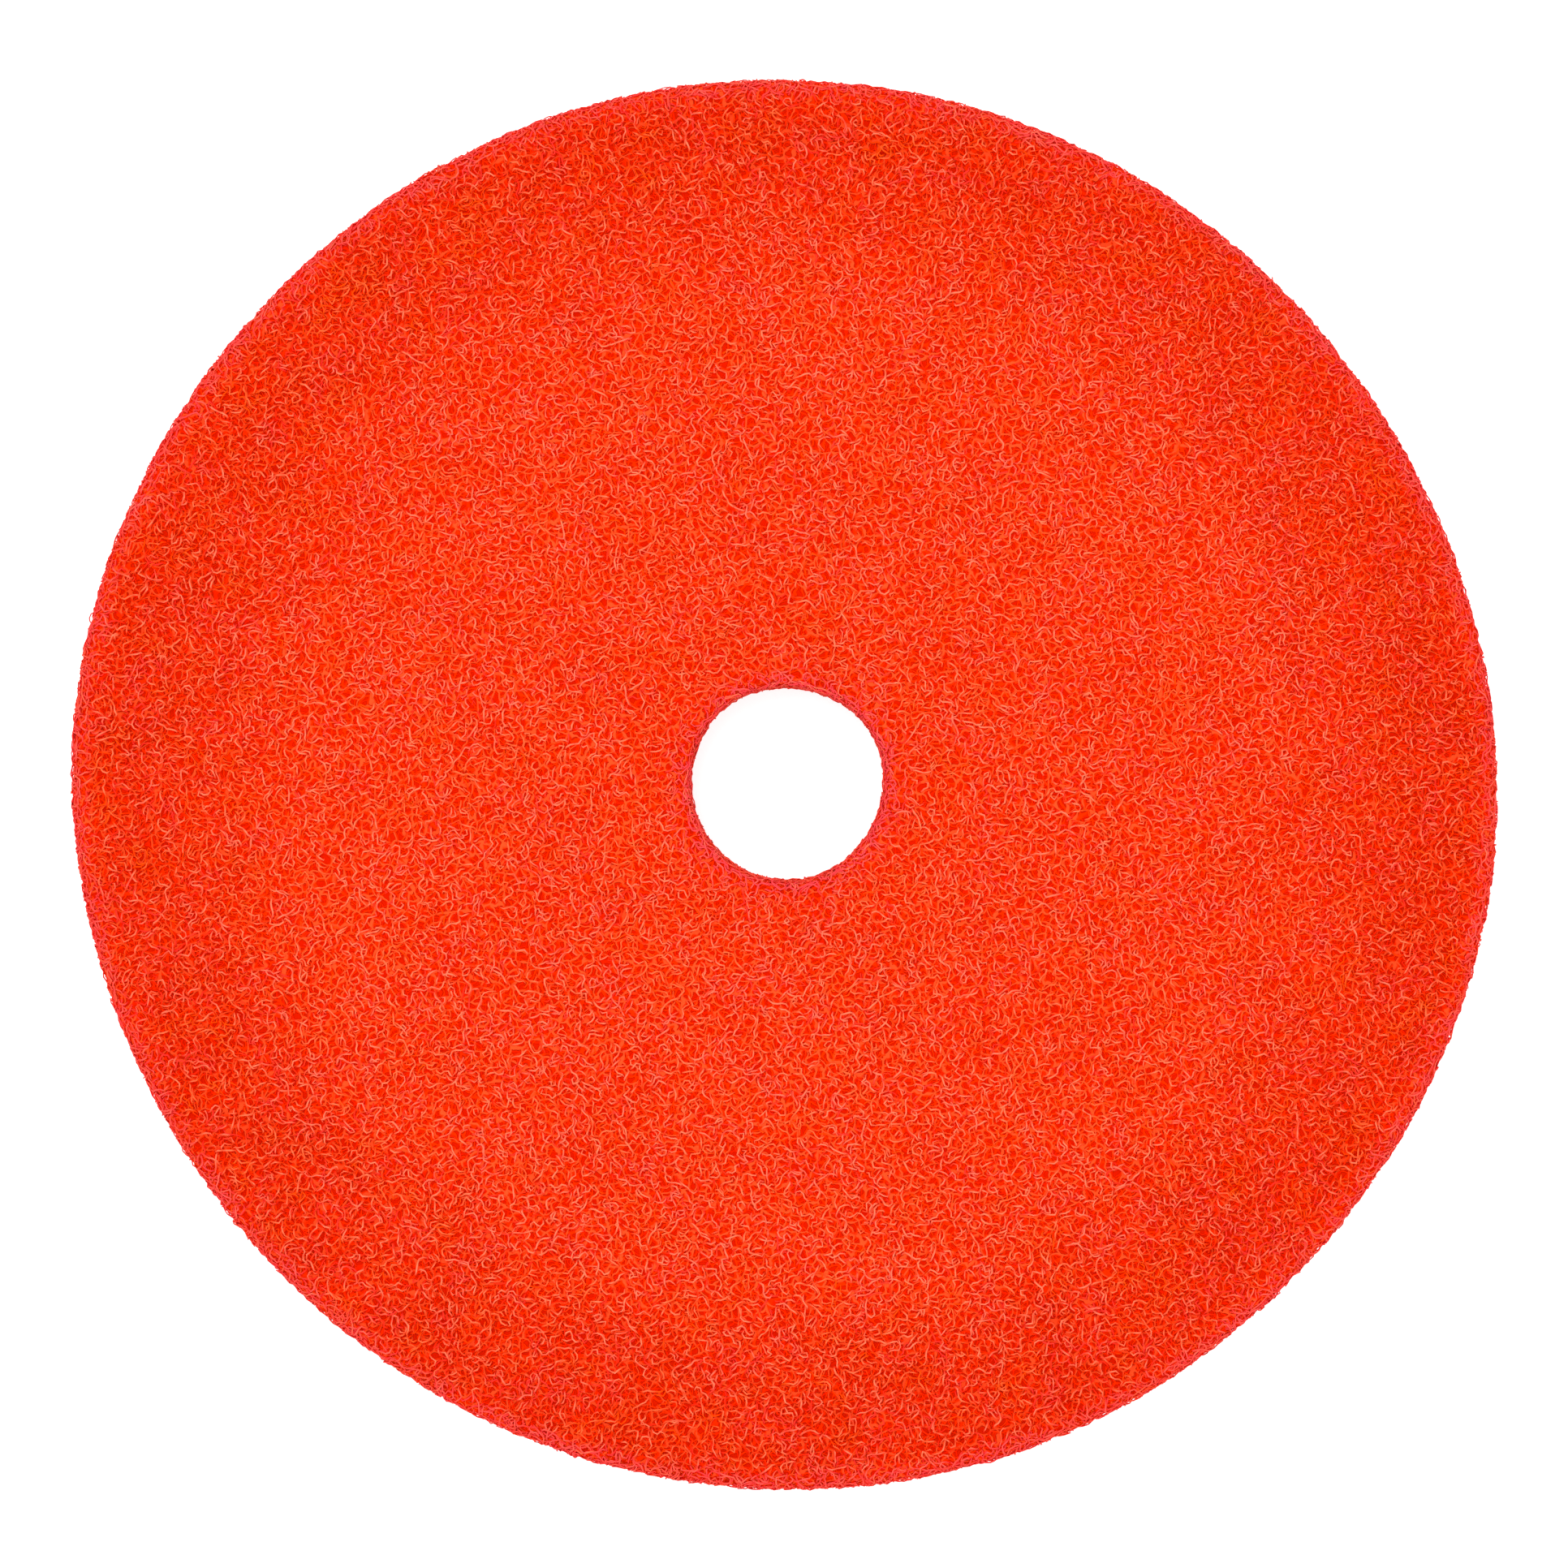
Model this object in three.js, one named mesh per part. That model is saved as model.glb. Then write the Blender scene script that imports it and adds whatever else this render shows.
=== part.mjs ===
// A round polishing pad for a floor machine: one disc cut from a lofty non-woven web of crimped
// fibres, which resin and diamond grit stiffen all through. Lengths are in millimetres and angles in
// degrees. The pad lies on its back face, z = 0 is that face, +Z points out of the working face, and
// the origin is under the middle of the disc.

import * as THREE from 'three';

// The disc, and the hole punched for the machine's centre lock.
const padDiameter = 432;
const padThickness = 25;
const holeDiameter = 58;
const holeShift = { x: 0.7, y: 0.45 }; // the punch lands a little off centre

// The cutter crushes the springy web, so both cut walls round over towards the faces. The walls
// follow a superellipse: the reach is how far the round goes into the face, and a higher squareness
// keeps more of the wall upright.
const rimRoundReach = 4;
const holeRoundReach = 2.6;
const wallSquareness = 3.4;

// The cut web relaxes out of round. Each lobe stands this high over the mean radius, with its first
// crest at this angle from +X. The rim's lobes are even in number, so opposite sides stay alike.
const rimLobes = [
  { count: 2, height: 1.45, crest: -24 },
  { count: 4, height: 0.57, crest: -3 },
  { count: 6, height: 0.26, crest: -5 },
];
const holeLobes = [
  { count: 3, height: 0.28, crest: 20 },
  { count: 4, height: 0.15, crest: 30 },
];

// The rolled faces are flat where the web is dense and sink into shallow hollows where it is open.
const hollowDepth = 1.3;
const hollowSpacing = 13; // the mean way from one hollow to the next
const denseShare = 0.42; // how open the web has to be before a hollow starts
const holeMargin = 15; // the flat band round the hole, which the machine's driver presses on
const rimMargin = 6;

// The cut walls are a little ragged, because the fibres spring back unevenly.
const raggedDepth = 0.5;
const raggedSpacing = 11;

// The size of the facets on each surface, and the fewest that any ring of them has, so that the
// hole stays round.
const faceFacet = 7;
const backFacet = 11.5;
const wallFacet = 8.6;
const wallRings = 8;
const fewestFacets = 48;

const padRadius = padDiameter / 2;
const holeRadius = holeDiameter / 2;

/** The height that a set of lobes adds to a radius at an angle in radians. */
function lobeHeight(lobes, angle) {
  return lobes.reduce((sum, { count, height, crest }) => {
    const fromCrest = angle - THREE.MathUtils.degToRad(crest);
    return sum + height * Math.cos(count * fromCrest);
  }, 0);
}

/** The rim's outline at an angle, moved in towards the middle by an inset. */
function rimPoint(angle, inset) {
  const radius = padRadius + lobeHeight(rimLobes, angle) - inset;
  return new THREE.Vector2(Math.cos(angle), Math.sin(angle)).multiplyScalar(radius);
}

/** The hole's outline at an angle, moved out into the web by an inset. */
function holePoint(angle, inset) {
  const radius = holeRadius + lobeHeight(holeLobes, angle) + inset;
  const point = new THREE.Vector2(Math.cos(angle), Math.sin(angle)).multiplyScalar(radius);
  return point.add(new THREE.Vector2(holeShift.x, holeShift.y));
}

/** A repeatable number from 0 to 1 for each cell of a layer of the web. */
function cellValue(column, row, layer) {
  const scrambled = Math.sin(column * 127.1 + row * 311.7 + layer * 74.7) * 43758.5453;
  return scrambled - Math.floor(scrambled);
}

/** How open the web is at a place, from 0 to 1: the cells' values, blended smoothly between them. */
function openness(x, y, spacing, layer) {
  const column = Math.floor(x / spacing);
  const row = Math.floor(y / spacing);
  const across = THREE.MathUtils.smoothstep(x / spacing - column, 0, 1);
  const along = THREE.MathUtils.smoothstep(y / spacing - row, 0, 1);
  const { lerp } = THREE.MathUtils;
  return lerp(
    lerp(cellValue(column, row, layer), cellValue(column + 1, row, layer), across),
    lerp(cellValue(column, row + 1, layer), cellValue(column + 1, row + 1, layer), across),
    along,
  );
}

/** How far a face sinks below its plane at a place, which is nothing beside the hole and the rim. */
function hollowAt(point, angle, layer) {
  const fromHole = point.distanceTo(holePoint(angle, 0)) - holeMargin;
  const fromRim = point.distanceTo(rimPoint(angle, 0)) - rimMargin;
  const { smoothstep } = THREE.MathUtils;
  const clear = smoothstep(Math.min(fromHole, fromRim), 0, hollowSpacing);
  return hollowDepth * clear * smoothstep(openness(point.x, point.y, hollowSpacing, layer), denseShare, 1);
}

/** One closed ring round the pad: its points, evenly spaced in angle, each placed by a function. */
function ring(count, place) {
  return Array.from({ length: count }, (_, i) => place((2 * Math.PI * i) / count));
}

/** How many facets of a size go round a circle. */
function facetsRound(radius, facet) {
  return Math.max(fewestFacets, Math.round((2 * Math.PI * radius) / facet));
}

/** The rings of a flat face, from beside the hole out to beside the rim. */
function faceRings(facet, faceHeight, outwards, layer) {
  const inner = holeRadius + holeRoundReach;
  const outer = padRadius - rimRoundReach;
  const steps = Math.round((outer - inner) / facet);
  return Array.from({ length: steps + 1 }, (_, k) => {
    const share = k / steps;
    const count = facetsRound(THREE.MathUtils.lerp(inner, outer, share), facet);
    return ring(count, (angle) => {
      const point = holePoint(angle, holeRoundReach).lerp(rimPoint(angle, rimRoundReach), share);
      const height = faceHeight - outwards * hollowAt(point, angle, layer);
      return new THREE.Vector3(point.x, point.y, height);
    });
  });
}

/** The rings of a cut wall between its two faces, from the back face up to the working face. */
function cutWallRings(outline, radius, reach, layer) {
  const power = 2 / wallSquareness;
  const half = padThickness / 2;
  const count = facetsRound(radius, wallFacet);
  return Array.from({ length: wallRings - 1 }, (_, k) => {
    const turn = THREE.MathUtils.degToRad(-90 + (180 * (k + 1)) / wallRings);
    const height = half + half * Math.sign(turn) * Math.abs(Math.sin(turn)) ** power;
    const upright = Math.cos(turn) ** power;
    return ring(count, (angle) => {
      const at = outline(angle, 0);
      const ragged = raggedDepth * upright * openness(at.x + height, at.y - height, raggedSpacing, layer);
      const point = outline(angle, reach * (1 - upright) + ragged);
      return new THREE.Vector3(point.x, point.y, height);
    });
  });
}

/** Joins two neighbouring rings with triangles, stepping along whichever ring's next point is first. */
function stitch(first, second, triangles) {
  let i = 0;
  let j = 0;
  while (i < first.count || j < second.count) {
    const from = first.start + (i % first.count);
    const to = second.start + (j % second.count);
    if (j === second.count || (i < first.count && (i + 1) * second.count <= (j + 1) * first.count)) {
      i += 1;
      triangles.push(from, to, first.start + (i % first.count));
    } else {
      j += 1;
      triangles.push(from, to, second.start + (j % second.count));
    }
  }
}

/** A closed body from rings that follow each other round its section and end where they began. */
function loftRings(rings) {
  const positions = rings.flat().flatMap((point) => point.toArray());
  let start = 0;
  const spans = rings.map(({ length }) => {
    start += length;
    return { start: start - length, count: length };
  });
  const triangles = [];
  spans.forEach((span, k) => stitch(span, spans[(k + 1) % spans.length], triangles));
  const geometry = new THREE.BufferGeometry();
  geometry.setAttribute('position', new THREE.Float32BufferAttribute(positions, 3));
  geometry.setIndex(triangles);
  geometry.computeVertexNormals();
  return geometry;
}

/** The pad: up the wall of the hole, out over the working face, down the rim, back under the back. */
function makePad() {
  const boreWall = cutWallRings(holePoint, holeRadius, holeRoundReach, 3);
  const workingFace = faceRings(faceFacet, padThickness, 1, 1);
  const rimWall = cutWallRings(rimPoint, padRadius, rimRoundReach, 4);
  const backFace = faceRings(backFacet, 0, -1, 2);
  const geometry = loftRings([...boreWall, ...workingFace, ...rimWall.reverse(), ...backFace.reverse()]);
  const resinedWeb = new THREE.MeshStandardMaterial({ color: 0xf5391d, roughness: 0.8, metalness: 0 });
  const pad = new THREE.Mesh(geometry, resinedWeb);
  pad.name = 'fibre_pad';
  return pad;
}

const polishingPad = new THREE.Group();
polishingPad.add(makePad());

export default polishingPad;
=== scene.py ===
import math

import bpy
import numpy as np
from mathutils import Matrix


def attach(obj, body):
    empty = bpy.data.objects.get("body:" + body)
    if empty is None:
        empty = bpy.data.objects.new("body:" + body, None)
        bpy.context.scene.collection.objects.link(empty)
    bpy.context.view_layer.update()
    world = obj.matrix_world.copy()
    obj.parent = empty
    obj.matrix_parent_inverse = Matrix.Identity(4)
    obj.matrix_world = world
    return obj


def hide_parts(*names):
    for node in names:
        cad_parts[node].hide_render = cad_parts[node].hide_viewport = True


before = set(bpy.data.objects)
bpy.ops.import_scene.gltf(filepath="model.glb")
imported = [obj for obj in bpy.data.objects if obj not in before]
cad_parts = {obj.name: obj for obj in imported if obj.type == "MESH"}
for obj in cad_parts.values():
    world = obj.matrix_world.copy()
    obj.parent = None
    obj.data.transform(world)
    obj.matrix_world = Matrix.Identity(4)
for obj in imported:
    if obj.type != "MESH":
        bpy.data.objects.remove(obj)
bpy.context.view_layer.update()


# The depths of the web. The pad is one disc, die-cut with its centre hole from a sheet of lofty
# non-woven: crimped polyester fibre, air-laid at random, then sprayed with red-orange resin that
# carries the grit and cured. This surface is the tangle that is seen a millimetre or so inside it.

# Sizes of the disc in millimetres, the same as its solid has.
PAD_DIAMETER = 432
THICKNESS = 25
HOLE_DIAMETER = 58
HOLE_CENTRE = (0.7, 0.45)
RIM_ROUND = 4
HOLE_ROUND = 2.6
SQUARENESS = 3.4
RIM_LOBES = ((2, 1.45, -24), (4, 0.57, -3), (6, 0.26, -5))
HOLE_LOBES = ((3, 0.28, 20), (4, 0.15, 30))
HALF = THICKNESS / 2


def cut_radius(diameter, lobes, angle):
    """Half the diameter, plus for each lobe its height times cos(count * (angle - crest))."""
    radius = np.full_like(angle, diameter / 2)
    for count, height, crest in lobes:
        radius += height * np.cos(count * (angle - math.radians(crest)))
    return radius


def smooth_step(value, low, high):
    """3s^2 - 2s^3, where s is how far value has gone from low to high, kept within 0 and 1."""
    share = np.clip((value - low) / (high - low), 0, 1)
    return share * share * (3 - 2 * share)


def cell_value(column, row, layer):
    """The fraction left of 43758.5453 sin(127.1 column + 311.7 row + 74.7 layer)."""
    scrambled = np.sin(column * 127.1 + row * 311.7 + layer * 74.7) * 43758.5453
    return scrambled - np.floor(scrambled)


def openness(x, y, spacing, layer):
    """How open the web is, 0 to 1: the values of the four cells round a place, blended smoothly."""
    column, row = np.floor(x / spacing), np.floor(y / spacing)
    across = smooth_step(x / spacing - column, 0, 1)
    along = smooth_step(y / spacing - row, 0, 1)
    lower = cell_value(column, row, layer) * (1 - across) + cell_value(column + 1, row, layer) * across
    row = row + 1
    upper = cell_value(column, row, layer) * (1 - across) + cell_value(column + 1, row, layer) * across
    return lower * (1 - along) + upper * along


def edge_section(along, reach):
    """The section of a cut edge, by the way along its skin from where the round starts on a face.

    The wall is half a superellipse, (out / reach)^n + (height / half)^n = 1 with n the squareness,
    and before and after it the two faces run on flat. Gives out, height and the normal's two parts.
    """
    turn = np.linspace(0, math.pi, 721)
    out = reach * np.abs(np.sin(turn)) ** (2 / SQUARENESS)
    height = HALF * np.sign(np.cos(turn)) * np.abs(np.cos(turn)) ** (2 / SQUARENESS)
    length = np.concatenate([[0], np.cumsum(np.hypot(np.diff(out), np.diff(height)))])
    lean_out = (out / reach) ** (SQUARENESS - 1) / reach
    lean_up = np.sign(height) * np.abs(height / HALF) ** (SQUARENESS - 1) / HALF
    size = np.hypot(lean_out, lean_up)
    flat = np.minimum(along, 0) + np.minimum(length[-1] - along, 0)
    return (np.interp(along, length, out) + flat, np.interp(along, length, height),
            np.interp(along, length, lean_out / size), np.interp(along, length, lean_up / size))


def wall_length(reach):
    """The length of a cut edge's skin from face to face, found by stepping along the superellipse."""
    turn = np.linspace(0, math.pi, 721)
    out = reach * np.abs(np.sin(turn)) ** (2 / SQUARENESS)
    height = HALF * np.sign(np.cos(turn)) * np.abs(np.cos(turn)) ** (2 / SQUARENESS)
    return float(np.hypot(np.diff(out), np.diff(height)).sum())


def ragged(x, y, z, out, reach, layer):
    """How far a cut wall has sprung back: 0.5 mm * openness * out / reach, so none at the faces."""
    return 0.5 * np.clip(out / reach, 0, 1) * openness(x + z, y - z, 11, layer)


def on_rim(angle, along):
    """A point of the rim's skin, at an angle round the pad, and its outward normal.

    The radius is the outline's, less the round, plus the section's out, less the raggedness.
    """
    out, height, lean_out, lean_up = edge_section(along, RIM_ROUND)
    radius = cut_radius(PAD_DIAMETER, RIM_LOBES, angle)
    z = HALF + height
    back = ragged(radius * np.cos(angle), radius * np.sin(angle), z, out, RIM_ROUND, 4)
    radius = radius - RIM_ROUND + out - back
    point = np.stack([radius * np.cos(angle), radius * np.sin(angle), z], axis=-1)
    normal = np.stack([lean_out * np.cos(angle), lean_out * np.sin(angle), lean_up], axis=-1)
    return point, normal


def on_hole(angle, along):
    """A point of the hole's skin, at an angle round the hole, and its normal out of the web.

    The radius is the outline's, plus the round, less the section's out, plus the raggedness.
    """
    out, height, lean_out, lean_up = edge_section(along, HOLE_ROUND)
    radius = cut_radius(HOLE_DIAMETER, HOLE_LOBES, angle)
    z = HALF + height
    x = HOLE_CENTRE[0] + radius * np.cos(angle)
    y = HOLE_CENTRE[1] + radius * np.sin(angle)
    radius = radius + HOLE_ROUND - out + ragged(x, y, z, out, HOLE_ROUND, 3)
    point = np.stack([HOLE_CENTRE[0] + radius * np.cos(angle),
                      HOLE_CENTRE[1] + radius * np.sin(angle), z], axis=-1)
    normal = np.stack([-lean_out * np.cos(angle), -lean_out * np.sin(angle), lean_up], axis=-1)
    return point, normal


def past_edges(x, y):
    """How far a place on a face is past the start of the rim's round and the hole's, and the angles.

    Past the rim's is distance from the middle - rim radius + round; past the hole's is hole radius
    + round - distance from the hole's centre.
    """
    rim_angle = np.arctan2(y, x)
    past_rim = np.hypot(x, y) - cut_radius(PAD_DIAMETER, RIM_LOBES, rim_angle) + RIM_ROUND
    dx, dy = x - HOLE_CENTRE[0], y - HOLE_CENTRE[1]
    hole_angle = np.arctan2(dy, dx)
    past_hole = cut_radius(HOLE_DIAMETER, HOLE_LOBES, hole_angle) + HOLE_ROUND - np.hypot(dx, dy)
    return past_rim, rim_angle, past_hole, hole_angle


def on_face(x, y, side):
    """A point of a face's skin and its normal; side is 1 for the working face and -1 for the back.

    A place past the start of a round is carried on over the edge, the same way along the skin, and
    the face sinks into the hollows where the web is open, as the solid's faces do.
    """
    past_rim, rim_angle, past_hole, hole_angle = past_edges(x, y)
    rim_point, rim_normal = on_rim(rim_angle, past_rim)
    hole_point, hole_normal = on_hole(hole_angle, past_hole)
    nearer_rim = (past_rim > past_hole)[..., None]
    point = np.where(nearer_rim, rim_point, hole_point)
    normal = np.where(nearer_rim, rim_normal, hole_normal)
    clear = smooth_step(np.minimum(HOLE_ROUND - past_hole - 15, RIM_ROUND - past_rim - 6), 0, 13)
    layer = 1 if side > 0 else 2
    point[..., 2] -= 1.3 * clear * smooth_step(openness(x, y, 13, layer), 0.42, 1)
    if side < 0:
        point[..., 2] = THICKNESS - point[..., 2]
        normal[..., 2] = -normal[..., 2]
    return point, normal


def new_piece(name, points, quads, triangles=None):
    """A smooth mesh piece from points in millimetres and rows of corner numbers."""
    corners = [quads.ravel()]
    starts = [4 * np.arange(len(quads))]
    if triangles is not None:
        corners.append(triangles.ravel())
        starts.append(quads.size + 3 * np.arange(len(triangles)))
    corners, starts = np.concatenate(corners), np.concatenate(starts)
    mesh = bpy.data.meshes.new(name)
    mesh.vertices.add(len(points))
    mesh.vertices.foreach_set("co", (points * 0.001).astype(np.float32).ravel())
    mesh.loops.add(len(corners))
    mesh.loops.foreach_set("vertex_index", corners.astype(np.int32))
    mesh.polygons.add(len(starts))
    mesh.polygons.foreach_set("loop_start", starts.astype(np.int32))
    mesh.update(calc_edges=True)
    mesh.shade_smooth()
    piece = bpy.data.objects.new(name, mesh)
    bpy.context.scene.collection.objects.link(piece)
    return piece


def make_depths():
    """A closed sleeve of rings: hole wall, working face, rim wall, back face.

    Each ring of a face blends from the hole's outline to the rim's, and each point sinks below the
    pad's skin by 0.6 mm, by up to 0.5 mm more where the web is open and by up to 0.6 mm more in the
    outer ring, which is darker in the photograph and is taken to be loftier. The web map gives each
    corner its place in metres on the unrolled skin: x and y on the faces, and the way round and the
    way down on the walls.
    """
    around = np.linspace(0, 2 * math.pi, 200, endpoint=False)
    hole_wall, rim_wall = wall_length(HOLE_ROUND), wall_length(RIM_ROUND)
    blend = np.linspace(0, 1, 32)[1:-1, None]
    hole_reach = cut_radius(HOLE_DIAMETER, HOLE_LOBES, around) + HOLE_ROUND
    rim_reach = cut_radius(PAD_DIAMETER, RIM_LOBES, around) - RIM_ROUND
    x = (HOLE_CENTRE[0] + hole_reach * np.cos(around)) * (1 - blend) + rim_reach * np.cos(around) * blend
    y = (HOLE_CENTRE[1] + hole_reach * np.sin(around)) * (1 - blend) + rim_reach * np.sin(around) * blend
    down_hole = np.linspace(hole_wall, 0, 10)[:, None] + 0 * around
    down_rim = np.linspace(0, rim_wall, 10)[:, None] + 0 * around
    parts = (on_hole(around + 0 * down_hole, down_hole), on_face(x, y, 1),
             on_rim(around + 0 * down_rim, down_rim), on_face(x[::-1], y[::-1], -1))
    skin, normal = (np.concatenate([part[i] for part in parts]) for i in (0, 1))
    way_out = np.hypot(skin[..., 0], skin[..., 1])
    looser = smooth_step(way_out, 140, 195) - smooth_step(way_out, 208, 214)
    sink = 0.6 + 0.5 * openness(skin[..., 0] + skin[..., 2], skin[..., 1], 9, 7) + 0.6 * looser
    point = skin - normal * sink[..., None]
    rings, count = point.shape[:2]
    number = np.arange(rings * count).reshape(rings, count)

    def corners(grid):
        """The four corners' values of each facet of the sleeve, in the facet's order."""
        ahead = np.roll(grid, -1, axis=0)
        return np.stack([grid[:, :-1], ahead[:, :-1], ahead[:, 1:], grid[:, 1:]], axis=2)

    closed = np.concatenate([number, number[:, :1]], axis=1)
    piece = new_piece("web_depths", point.reshape(-1, 3), corners(closed).reshape(-1, 4))
    flat = np.concatenate([skin, skin[:, :1]], axis=1)[..., :2]
    ring = np.arange(rings)
    turned = np.concatenate([around, [2 * math.pi]])
    in_hole, in_rim = ring < 9, (ring >= 40) & (ring < 49)
    down = np.where(ring < 10, ring * hole_wall / 9, (ring - 40) * rim_wall / 9)
    rolled = np.stack(np.broadcast_arrays(
        turned * np.where(ring < 10, HOLE_DIAMETER / 2, PAD_DIAMETER / 2)[:, None],
        (down + np.where(ring < 10, 300, 350))[:, None]), axis=-1)
    placed = np.where((in_hole | in_rim)[:, None, None, None], corners(rolled), corners(flat))
    placed[ring >= 49, ..., 0] += 500
    # The deep attribute is how far the skin sinks past 0.6 mm; the material paints shade by it.
    deep = piece.data.attributes.new("deep", "FLOAT", "POINT")
    deep.data.foreach_set("value", ((sink - 0.6) / 1.1).astype(np.float32).ravel())
    layer = piece.data.uv_layers.new(name="web")
    layer.uv.foreach_set("vector", (placed * 0.001).astype(np.float32).ravel())
    return piece


def linear(colour):
    """The linear red, green, blue and alpha of an sRGB hex colour."""
    parts = [int(colour[i:i + 2], 16) / 255 for i in (1, 3, 5)]
    return tuple(p / 12.92 if p <= 0.04045 else ((p + 0.055) / 1.055) ** 2.4 for p in parts) + (1.0,)


def add_node(tree, kind, settings=None, **inputs):
    """Adds a node, sets its settings, and gives each input a value or links a socket to it."""
    node = tree.nodes.new(kind)
    for name, value in (settings or {}).items():
        setattr(node, name, value)
    for name, value in inputs.items():
        socket = node.inputs[int(name[1:])] if name[1:].isdigit() else node.inputs[name.replace("_", " ")]
        if isinstance(value, bpy.types.NodeSocket):
            tree.links.new(value, socket)
        else:
            socket.default_value = value
    return node


def new_material(name):
    """An empty node material, its tree and its output."""
    material = bpy.data.materials.new(name)
    material.use_nodes = True
    tree = material.node_tree
    tree.nodes.clear()
    return material, tree, add_node(tree, "ShaderNodeOutputMaterial")


def depths_material():
    """Cured resin on fibres that cross each other inside the web: dark red gaps and paler strands, the gaps'
    darkness painted shade.

    A layer of strands is the edges between the cells of a Voronoi pattern whose places are pushed
    about by a noise, so that the edges curl as the crimped fibre does. Each layer lies over the one
    before. The cells are 2.4 to 2.9 mm, set so that the gaps look like the photographed web's.
    """
    material, tree, output = new_material("resined_web_depths")
    place = add_node(tree, "ShaderNodeUVMap", {"uv_map": "web"}).outputs[0]
    push = add_node(tree, "ShaderNodeTexNoise", {"noise_dimensions": "2D"}, Vector=place, Scale=260.0,
                    Detail=1.0)
    centred = add_node(tree, "ShaderNodeVectorMath", {"operation": "SUBTRACT"}, _0=push.outputs["Color"],
                       _1=(0.5, 0.5, 0.5))
    bent = add_node(tree, "ShaderNodeVectorMath", {"operation": "MULTIPLY_ADD"}, _0=centred.outputs[0],
                    _1=(0.003, 0.003, 0.003), _2=place)
    # Painted shade and light: the gaps are dark #D41800 and each higher layer of strands is paler, for the
    # depth of the tangle.
    colour = linear("#D41800")
    height = 0.0
    strands = ((420, (0.0, 0.0, 0.0), "#F21E00"), (380, (0.31, 0.17, 0.0), "#FF2C00"),
               (340, (0.13, 0.43, 0.0), "#FF4E22"))
    for level, (scale, shift, shade) in enumerate(strands):
        moved = add_node(tree, "ShaderNodeMapping", Vector=bent.outputs[0], Location=shift,
                         Rotation=(0.0, 0.0, 0.9 * level))
        cells = add_node(tree, "ShaderNodeTexVoronoi",
                         {"feature": "DISTANCE_TO_EDGE", "voronoi_dimensions": "2D"},
                         Vector=moved.outputs[0], Scale=scale)
        strand = add_node(tree, "ShaderNodeMapRange", {"interpolation_type": "SMOOTHSTEP"},
                          Value=cells.outputs["Distance"], From_Min=0.15, From_Max=0.07)
        layered = add_node(tree, "ShaderNodeMixRGB", Fac=strand.outputs[0], Color1=colour,
                           Color2=linear(shade))
        colour = layered.outputs[0]
        raised = add_node(tree, "ShaderNodeMath", {"operation": "MULTIPLY"}, _0=strand.outputs[0],
                          _1=0.5 + 0.25 * level)
        height = add_node(tree, "ShaderNodeMath", {"operation": "MAXIMUM"}, _0=raised.outputs[0],
                          _1=height).outputs[0]
    # Painted shade: where the skin sinks deeper, the colour is mixed up to 0.3 of the way to dark #B01C00.
    deep = add_node(tree, "ShaderNodeAttribute", {"attribute_name": "deep"}).outputs["Fac"]
    painted_depth_shade = add_node(tree, "ShaderNodeMapRange", Value=deep, From_Min=0.25, From_Max=1.0, To_Max=0.3)
    darker = add_node(tree, "ShaderNodeMixRGB", Fac=painted_depth_shade.outputs[0], Color1=colour,
                      Color2=linear("#B01C00"))
    bump = add_node(tree, "ShaderNodeBump", Height=height, Strength=0.9, Distance=0.0006)
    shader = add_node(tree, "ShaderNodeBsdfPrincipled", Base_Color=darker.outputs[0], Normal=bump.outputs[0],
                      Roughness=0.7, Specular_IOR_Level=0.0)
    tree.links.new(shader.outputs[0], output.inputs["Surface"])
    return material


web_depths = make_depths()
web_depths.data.materials.append(depths_material())
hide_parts("fibre_pad")
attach(web_depths, "root")


# The fibres of the working face. They lie on and through each other in curls, hooks and waves, each
# held where it crosses another by a bead of resin. The rolls that made the sheet laid them nearly
# flat. A real one is thought to be 0.15 to 0.3 mm thick, and is drawn 0.53 mm thick so that it shows.

FIBRE_RADIUS = 0.265


def crimped_paths(random, count, steps, step, heading, most_bend):
    """Flat paths of crimped fibre about a middle of 0, 0, and the share from 0 to 1 along them.

    The heading turns as bend * s + swing * sin(2 pi s / wave + phase) plus a random kink at each
    step, with s the way along, and the path is the running sum of steps along its heading.
    """
    way = (np.arange(steps) + 0.5 - steps / 2) * step
    bend = most_bend * random.uniform(-1, 1, (count, 1)) * random.uniform(0.1, 1, (count, 1))
    swing = random.uniform(0.4, 1.3, (count, 1))
    wave = random.uniform(4.5, 9, (count, 1))
    phase = random.uniform(0, 2 * math.pi, (count, 1))
    kinks = np.cumsum(random.normal(0, 0.34, (count, steps)), axis=1)
    turned = heading[:, None] + bend * way + swing * np.sin(2 * math.pi * way / wave + phase) + kinks
    path = np.zeros((count, steps + 1, 2))
    path[:, 1:, 0] = np.cumsum(np.cos(turned), axis=1) * step
    path[:, 1:, 1] = np.cumsum(np.sin(turned), axis=1) * step
    return path - path.mean(axis=1, keepdims=True), np.linspace(0, 1, steps + 1)


def fibre_heights(random, count, share, level, spread, dive):
    """Heights over the skin, for a share s of the way along.

    level, give or take spread, + 0.35 sin(2 pi waves s + phase) - dive |2 s - 1|^4, in millimetres.
    """
    middle = level + spread * random.uniform(-1, 1, (count, 1))
    phase = random.uniform(0, 2 * math.pi, (count, 1))
    waves = random.uniform(1, 2.2, (count, 1))
    ripple = 0.35 * np.sin(2 * math.pi * waves * share + phase)
    return middle + ripple - dive * np.abs(2 * share - 1) ** 4


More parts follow.
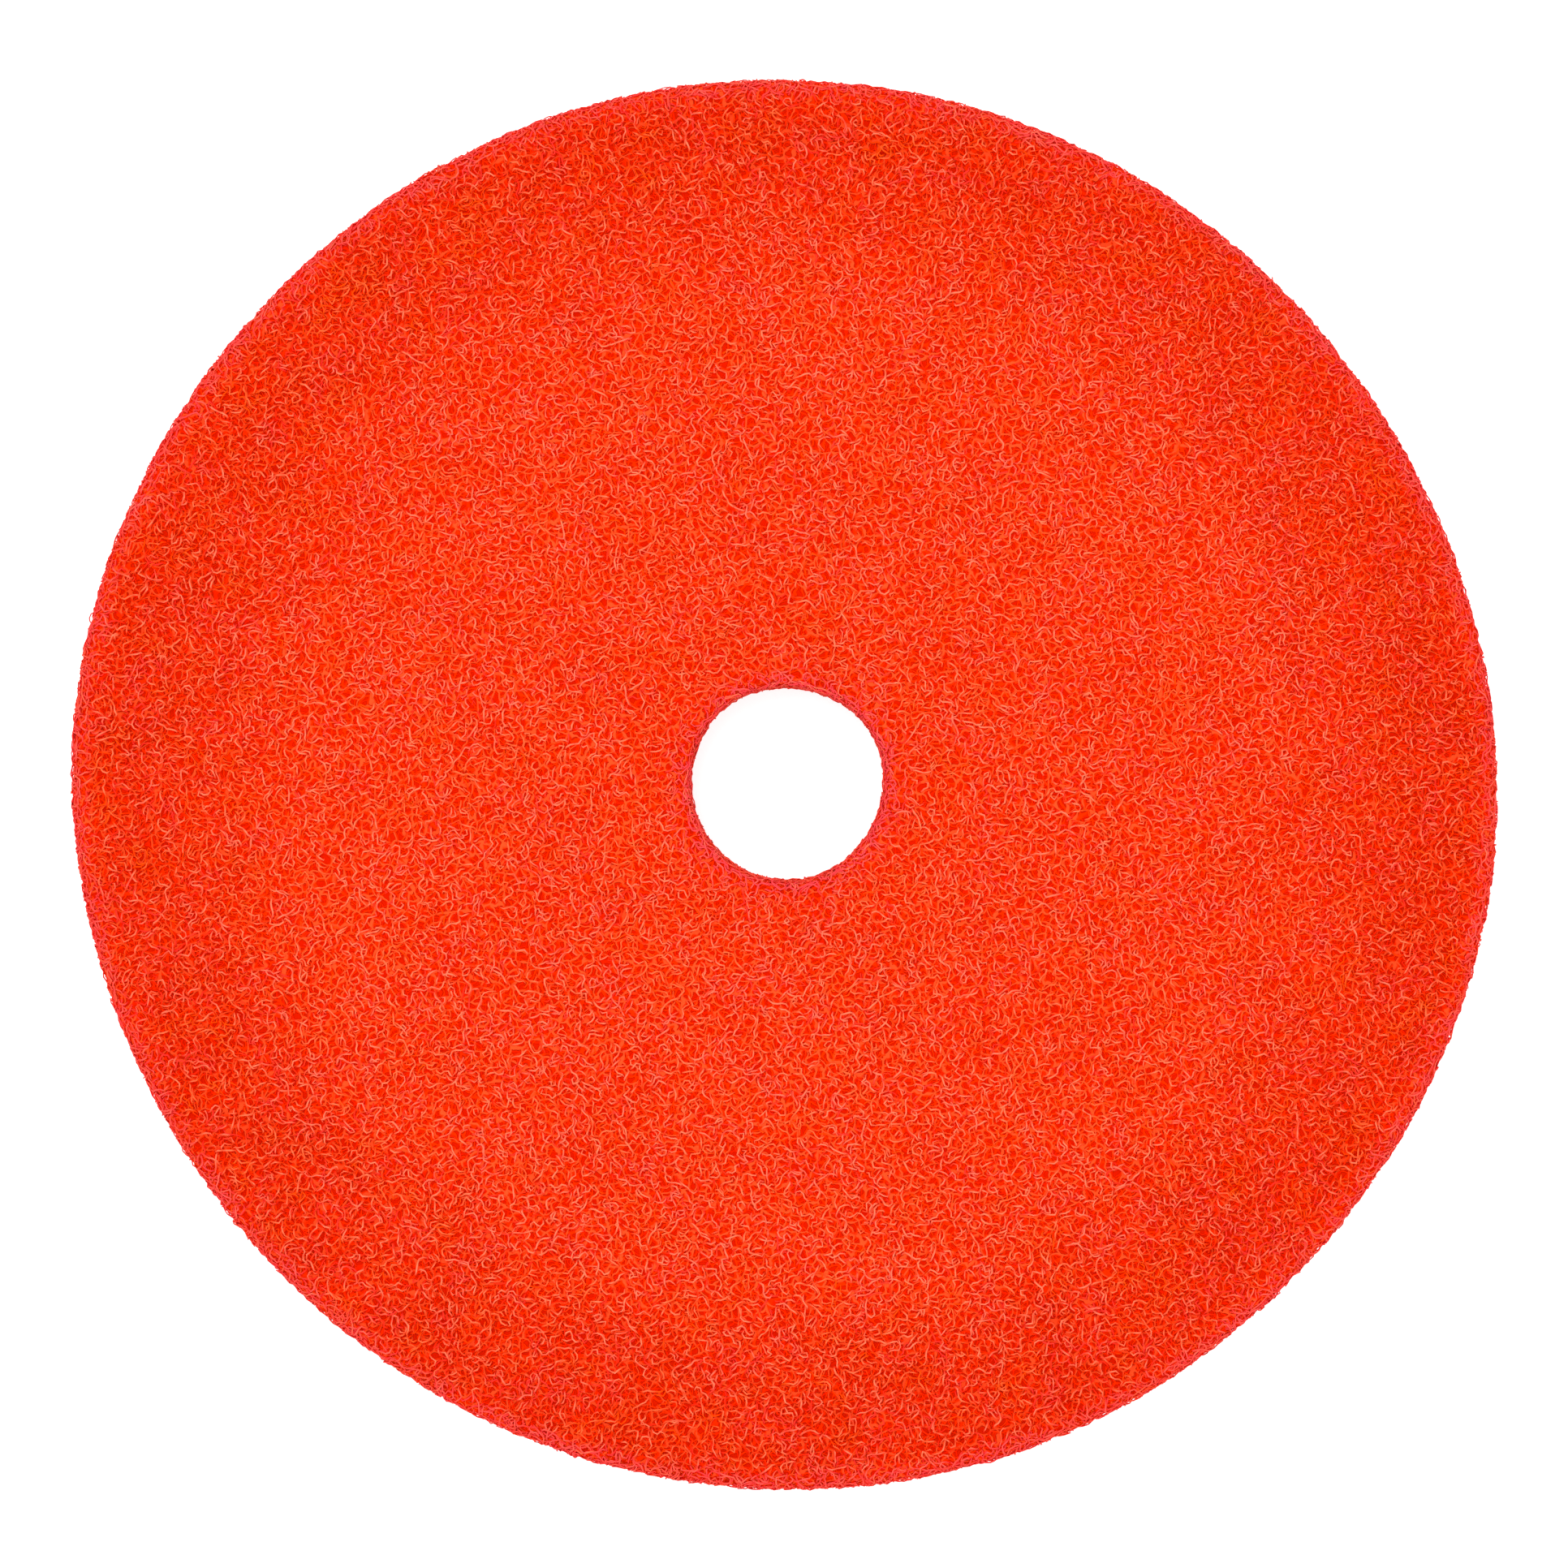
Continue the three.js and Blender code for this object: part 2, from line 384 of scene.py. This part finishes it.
def lay_fibres(name, path, normal, radius, tone, edge):
    """A piece of fibres: each a closed tube of three sides carried along its path.

    A ring's corners are path + radius * (side cos a + up sin a) for a = 30, 150 and 270 degrees,
    where side is across the path and up is as near to the skin's normal as square to the path can be.
    The lower corner has none of the tone of the rest, which is painted shade along each fibre's underside.
    No corner is under 0.02 mm, because what the pad lies on presses the fibres flat there.
    """
    count, rings = path.shape[:2]
    ahead = np.gradient(path, axis=1)
    ahead /= np.linalg.norm(ahead, axis=-1, keepdims=True)
    side = np.cross(ahead, normal)
    side /= np.linalg.norm(side, axis=-1, keepdims=True)
    up = np.cross(side, ahead)
    corner = np.radians([30, 150, 270])[:, None]
    around = side[:, :, None] * np.cos(corner) + up[:, :, None] * np.sin(corner)
    points = path[:, :, None] + radius[..., None, None] * around
    points[..., 2] = np.maximum(points[..., 2], 0.02)
    number = np.arange(count * rings * 3).reshape(count, rings, 3)
    near, far = number[:, :-1], number[:, 1:]
    quads = np.stack([near, far, np.roll(far, -1, axis=2), np.roll(near, -1, axis=2)], axis=-1)
    ends = np.concatenate([number[:, 0], number[:, -1, ::-1]])
    piece = new_piece(name, points.reshape(-1, 3), quads.reshape(-1, 4), ends)
    # Painted shade: the lower corner of each ring gets a tone of 0.
    for attribute, value, share in (("tone", tone, (1, 1, 0)), ("edge", edge, (1, 1, 1))):
        values = np.broadcast_to(value, (count, rings))[..., None] * share
        layer = piece.data.attributes.new(attribute, "FLOAT", "POINT")
        layer.data.foreach_set("value", values.astype(np.float32).ravel())
    bake_map(piece.data, count, rings)
    piece.data.materials.append(fibre_finish)
    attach(piece, "root")
    return piece


def bake_map(mesh, count, rings):
    """A flat map with a square cell for each fibre: its sides as three strips and its ends above.

    With w cells in a row, fibre n is in column n mod w of row n div w.
    """
    across = math.ceil(math.sqrt(count))
    cell = np.stack([np.arange(count) % across, np.arange(count) // across], axis=-1)
    along = np.linspace(0.06, 0.94, rings)
    strip = np.linspace(0.06, 0.76, 4)
    left, low = np.meshgrid(along[:-1], strip[:-1], indexing="ij")
    right, high = np.meshgrid(along[1:], strip[1:], indexing="ij")
    side = np.stack([np.stack([left, low], -1), np.stack([right, low], -1),
                     np.stack([right, high], -1), np.stack([left, high], -1)], axis=2)
    first = np.array([[0.06, 0.84], [0.44, 0.84], [0.25, 0.94]])
    last = first + [0.5, 0]
    shift = cell[:, None, None, None]
    sides = (side[None] + shift).reshape(-1, 2)
    ends = np.concatenate([first + shift[:, 0, 0], last + shift[:, 0, 0]]).reshape(-1, 2)
    placed = np.concatenate([sides, ends]) / across
    layer = mesh.uv_layers.new(name="OFBake")
    layer.uv.foreach_set("vector", placed.astype(np.float32).ravel())


def fibre_material():
    """Resin-coated polyester fibre, satin: salmon red on top and deep red-orange below.

    The tone runs from 0, deep red-orange, to 1, salmon. It differs at random from fibre to fibre, and
    is also painted shade and light: a fibre gets less of it the deeper it lies and more the higher.
    The cut edges are a cooler pink red, as they are in the photograph.
    """
    material, tree, output = new_material("resined_polyester_fibre")
    place = add_node(tree, "ShaderNodeTexCoord").outputs["Object"]
    tone = add_node(tree, "ShaderNodeAttribute", {"attribute_name": "tone"}).outputs["Fac"]
    edge = add_node(tree, "ShaderNodeAttribute", {"attribute_name": "edge"}).outputs["Fac"]
    # Painted shade and light: the ramp runs from dark #FF2600 at low tone to salmon #FF7A58 at high tone.
    ramp = add_node(tree, "ShaderNodeValToRGB", Fac=tone)
    ramp.color_ramp.elements[0].color = linear("#FF2600")
    ramp.color_ramp.elements[1].color = linear("#FF7A58")
    ramp.color_ramp.elements.new(0.5).color = linear("#FF3C10")
    drift = add_node(tree, "ShaderNodeTexNoise", Vector=place, Scale=90.0, Detail=2.0).outputs[0]
    warm = add_node(tree, "ShaderNodeMapRange", Value=drift, From_Min=0.5, From_Max=0.66, To_Max=0.6)
    warmed = add_node(tree, "ShaderNodeMixRGB", Fac=warm.outputs[0], Color1=ramp.outputs[0],
                      Color2=linear("#FF5404"))
    cool = add_node(tree, "ShaderNodeMapRange", Value=drift, From_Min=0.5, From_Max=0.36, To_Max=0.3)
    pinker = add_node(tree, "ShaderNodeMixRGB", Fac=cool.outputs[0], Color1=warmed.outputs[0],
                      Color2=linear("#FF4C50"))
    cooled = add_node(tree, "ShaderNodeMixRGB", Fac=edge, Color1=pinker.outputs[0],
                      Color2=linear("#FF464C"))
    # The grit is 0.05 mm, and is drawn as 0.5 mm unevenness so that it breaks up the highlights.
    grit = add_node(tree, "ShaderNodeTexNoise", Vector=place, Scale=2000.0, Detail=1.0)
    bump = add_node(tree, "ShaderNodeBump", Height=grit.outputs[0], Strength=0.3, Distance=0.0002)
    shader = add_node(tree, "ShaderNodeBsdfPrincipled", Base_Color=cooled.outputs[0],
                      Normal=bump.outputs[0], Roughness=0.6, Specular_IOR_Level=0.02)
    tree.links.new(shader.outputs[0], output.inputs["Surface"])
    return material


def even_places(random, first, count, thin, side):
    """Evenly scattered places on a face, a little past both cuts, from the first number on.

    Number n is at the fractions left of 0.7549 n and 0.5698 n, across a square and up it. It is
    dropped off the disc, and by chance where the web is open and towards the rim, up to the thinning.
    """
    number = np.arange(2 * count) + first
    x = (number * 0.7548776662 % 1 - 0.5) * (PAD_DIAMETER + 3)
    y = (number * 0.5698402910 % 1 - 0.5) * (PAD_DIAMETER + 3)
    past_rim, _, past_hole, _ = past_edges(x, y)
    open_web = openness(x, y, 13, 1 if side > 0 else 2) * 0.6 + openness(x, y, 31, 9) * 0.4
    outer = smooth_step(np.hypot(x, y), 145, 205)
    thinned = thin * (0.5 * smooth_step(open_web, 0.35, 0.8) + 0.5 * outer)
    kept = (random.uniform(0, 1, len(x)) > thinned) & (past_rim < 4.5) & (past_hole < 3)
    return np.stack([x[kept][:count], y[kept][:count]], axis=-1)[:, None]


def laid_apart(path, marked):
    """The fibres that are laid, taken in turn, because earlier ones cover under a third of their way.

    The face is ruled in 0.4 mm squares, and a fibre that is laid marks those it crosses and those
    beside them.
    """
    share = np.array([0, 1, 2])[:, None] / 3
    way = (path[:, :-1, None] * (1 - share) + path[:, 1:, None] * share).reshape(len(path), -1, 2)
    square = np.floor(way / 0.4).astype(int) + len(marked) // 2
    around = np.stack(np.meshgrid([-1, 0, 1], [-1, 0, 1]), axis=-1).reshape(-1, 2)
    laid = np.zeros(len(path), bool)
    for first in range(0, len(path), 400):
        batch = square[first:first + 400]
        fits = marked[batch[..., 0], batch[..., 1]].mean(axis=1) < 0.34
        laid[first:first + 400] = fits
        near = batch[fits][..., None, :] + around
        marked[near[..., 0], near[..., 1]] = True
    return path[laid]


def face_lay(name, side, random, path, level, spread, tones):
    """One lay of a face's fibres, its level in millimetres over the face's skin.

    The tone is a random one between the two given + 0.5 (lift - level), so it is painted paler where
    a fibre rises and darker where it dips, and 0.15 less in the outer ring. The edge's share goes from
    0 to 0.6 over the last 4 mm before a round, and round the hole to 1 over the last 12 mm.
    """
    count = len(path)
    x, y = path[..., 0], path[..., 1]
    skin, normal = on_face(x, y, side)
    lift = fibre_heights(random, count, np.linspace(0, 1, x.shape[1]), level, spread, 0.8)
    past_rim, _, past_hole, _ = past_edges(x, y)
    edge = 0.6 * smooth_step(np.maximum(past_rim, past_hole), -4, 0) + 0.4 * smooth_step(past_hole, -12, 0)
    # Painted light and shade: a fibre's tone rises and falls with its height.
    tone = random.uniform(*tones, (count, 1)) + 0.5 * (lift - level)
    tone = np.clip(tone - 0.15 * smooth_step(np.hypot(x, y), 145, 205), 0, 1)
    radius = np.broadcast_to(FIBRE_RADIUS * random.uniform(0.8, 1.15, (count, 1)), x.shape)
    return lay_fibres(name, skin + normal * lift[..., None], normal, radius, tone, edge)


def free_paths(random, first, count, steps, step, thin, side):
    """Paths on a face that run every way, their middles evenly scattered."""
    places = even_places(random, first, count, thin, side)
    heading = random.uniform(0, 2 * math.pi, len(places))
    return places + crimped_paths(random, len(places), steps, step, heading, 0.75)[0]


fibre_finish = fibre_material()
chance = np.random.default_rng(1)
deep_paths = free_paths(chance, 0, 7600, 4, 1.6, 0.0, 1)
# Painted shade and light: the lower lays are given lower, darker tones, the upper lays higher, paler ones.
face_lay("working_face_deep_lay", 1, chance, deep_paths, -0.65, 0.2, (0.0, 0.35))
crowded = np.zeros((1200, 1200), bool)
upper_paths = laid_apart(free_paths(chance, 16000, 11000, 6, 1.3, 0.3, 1), crowded)[:5200]
middle_paths = laid_apart(free_paths(chance, 40000, 60000, 4, 1.3, 0.3, 1), crowded)[:7600]
face_lay("working_face_upper_lay", 1, chance, upper_paths, -0.15, 0.15, (0.85, 1.0))
face_lay("working_face_middle_lay", 1, chance, middle_paths, -0.3, 0.15, (0.75, 0.95))
top_paths = free_paths(chance, 170000, 2400, 6, 1.3, 0.3, 1)
face_lay("working_face_top_lay", 1, chance, top_paths, 0.05, 0.1, (0.8, 0.95))


# The fibres of the back face, which is the same web. It grips the short bristles of the machine's
# driver, and the photograph does not show it, so one lay of fewer fibres lies over the depths.

back_paths = free_paths(chance, 190000, 4200, 5, 1.9, 0.3, -1)
face_lay("back_face_lay", -1, chance, back_paths, -0.6, 0.2, (0.4, 0.9))


# The cut walls. The die goes down through the layers of the web, so its fibres lie mostly level
# here, and the ones that it cut stand out of the wall as short blunt ends.


def wall_lay(name, place, radius, reach, seed, count, palest):
    """A lay of fibres on a cut wall, laid level within 25 degrees or so, from face to face.

    Fibre n's middle is at the fractions left of 0.7549 n and 0.5698 n, round the wall and down it.
    Its tone is a random one up to the palest + 0.2 * lift: painted light where a fibre stands off the wall
    and painted shade where it dips into it.
    """
    random = np.random.default_rng(seed)
    length = wall_length(reach)
    heading = math.pi * random.integers(0, 2, count) + random.normal(0, 0.4, count)
    path = crimped_paths(random, count, 7, 1.8, heading, 0.22)[0]
    number = np.arange(count)
    around = (number * 0.7548776662 % 1)[:, None] * 2 * math.pi + path[..., 0] / radius
    along = (number * 0.5698402910 % 1)[:, None] * length + path[..., 1]
    skin, normal = place(around, along)
    lift = fibre_heights(random, count, np.linspace(0, 1, 8), -0.45, 0.25, 0.9)
    # Painted light and shade: the tone rises with the fibre's lift off the wall.
    tone = np.clip(random.uniform(palest - 0.5, palest, (count, 1)) + 0.2 * lift, 0, 1)
    edge = random.uniform(0.25, 0.75, (count, 1))
    thick = np.broadcast_to(FIBRE_RADIUS * random.uniform(0.8, 1.15, (count, 1)), along.shape)
    return lay_fibres(name, skin + normal * lift[..., None], normal, thick, tone, edge)


def cut_ends(name, place, reach, seed, count):
    """Blunt fibre ends: straight, 1.1 to 1.6 mm long, leaning up to 50 degrees off the wall's normal.

    Each runs from a point 1.3 mm inside the skin, along normal + a * level + b * up, made unit long,
    with a up to 1.1 and b up to 0.5 either way.
    """
    random = np.random.default_rng(seed)
    length = wall_length(reach)
    around = random.uniform(0, 2 * math.pi, count)
    along = random.uniform(0.04, 0.96, count) * length
    skin, normal = place(around, along)
    level = np.stack([-np.sin(around), np.cos(around), 0 * around], axis=-1)
    up = np.array([0, 0, 1])
    way = normal + level * random.uniform(-1.1, 1.1, (count, 1)) + up * random.uniform(-0.5, 0.5, (count, 1))
    way /= np.linalg.norm(way, axis=-1, keepdims=True)
    start = -1.3 * normal
    share = np.linspace(0, 1, 3)[None, :, None]
    reach_out = random.uniform(1.1, 1.6, (count, 1, 1))
    path = (skin + start)[:, None] + way[:, None] * share * reach_out
    tone = random.uniform(0.4, 1.0, (count, 1))
    across = np.broadcast_to(np.cross(way, level)[:, None], path.shape)
    thick = np.broadcast_to(FIBRE_RADIUS * random.uniform(0.8, 1.1, (count, 1)), path.shape[:2])
    return lay_fibres(name, path, across, thick, tone, random.uniform(0.3, 0.8, (count, 1)))


# The hole's fibres are drawn paler than the rim's only to lift the dark ring that its shade makes.
wall_lay("rim_lay", on_rim, PAD_DIAMETER / 2, RIM_ROUND, 31, 2900, 1.05)
cut_ends("rim_cut_ends", on_rim, RIM_ROUND, 32, 1500)
wall_lay("hole_lay", on_hole, HOLE_DIAMETER / 2, HOLE_ROUND, 41, 480, 1.4)
cut_ends("hole_cut_ends", on_hole, HOLE_ROUND, 42, 220)


# The floor, the lights and the camera. A pale studio floor, one large soft box over the pad and an
# even white surround, and a camera straight over the pad with its top to the pad's +Y.

floor_mesh = bpy.data.meshes.new("studio_floor")
floor_mesh.from_pydata([(-8, -8, 0), (8, -8, 0), (8, 8, 0), (-8, 8, 0)], [], [(0, 1, 2, 3)])
studio_floor = bpy.data.objects.new("studio_floor", floor_mesh)
bpy.context.scene.collection.objects.link(studio_floor)


def seen_directly(tree):
    """1 for what the camera, a reflection or a view through glass sees, and 0 for plain light."""
    ray = add_node(tree, "ShaderNodeLightPath").outputs
    either = add_node(tree, "ShaderNodeMath", {"operation": "MAXIMUM"}, _0=ray["Is Camera Ray"],
                      _1=ray["Is Glossy Ray"])
    return add_node(tree, "ShaderNodeMath", {"operation": "MAXIMUM"}, _0=either.outputs[0],
                    _1=ray["Is Transmission Ray"]).outputs[0]


def floor_material():
    """White card: it keeps the pad's shadow, and shows plain white away from it."""
    material, tree, output = new_material("white_studio_card")
    card = add_node(tree, "ShaderNodeBsdfDiffuse", Color=linear("#E4E4E4"))
    lift = add_node(tree, "ShaderNodeMath", {"operation": "MULTIPLY"}, _0=seen_directly(tree), _1=0.6)
    glow = add_node(tree, "ShaderNodeEmission", Strength=lift.outputs[0])
    both = add_node(tree, "ShaderNodeAddShader", _0=card.outputs[0], _1=glow.outputs[0])
    tree.links.new(both.outputs[0], output.inputs["Surface"])
    return material


floor_mesh.materials.append(floor_material())

world = bpy.data.worlds.new("studio")
world.use_nodes = True
world.node_tree.nodes.clear()
surround = add_node(world.node_tree, "ShaderNodeMapRange", Value=seen_directly(world.node_tree),
                    To_Min=1.28, To_Max=1.0)
background = add_node(world.node_tree, "ShaderNodeBackground", Strength=surround.outputs[0],
                      Color=(1, 1, 1, 1))
world_output = add_node(world.node_tree, "ShaderNodeOutputWorld", Surface=background.outputs[0])
bpy.context.scene.world = world

soft_box = bpy.data.lights.new("soft_box", "AREA")
soft_box.shape = "DISK"
soft_box.size = 1.6
soft_box.energy = 16
lamp = bpy.data.objects.new("soft_box", soft_box)
lamp.location = (-0.7, 0.9, 2.4)
lamp.rotation_euler = (math.radians(-20), math.radians(-16), 0)
bpy.context.scene.collection.objects.link(lamp)

FRAME_WIDTH = 0.4794  # at half the pad's thickness, where its outline is widest
CAMERA_WAY = 2.0
camera_data = bpy.data.cameras.new("camera")
camera_data.sensor_width = 36
camera_data.lens = 36 * CAMERA_WAY / FRAME_WIDTH
camera = bpy.data.objects.new("camera", camera_data)
camera.location = (-0.0002, 0.0002, HALF * 0.001 + CAMERA_WAY)  # the pad's middle is just off the frame's
bpy.context.scene.collection.objects.link(camera)
bpy.context.scene.camera = camera
bpy.context.scene.view_settings.view_transform = "Standard"
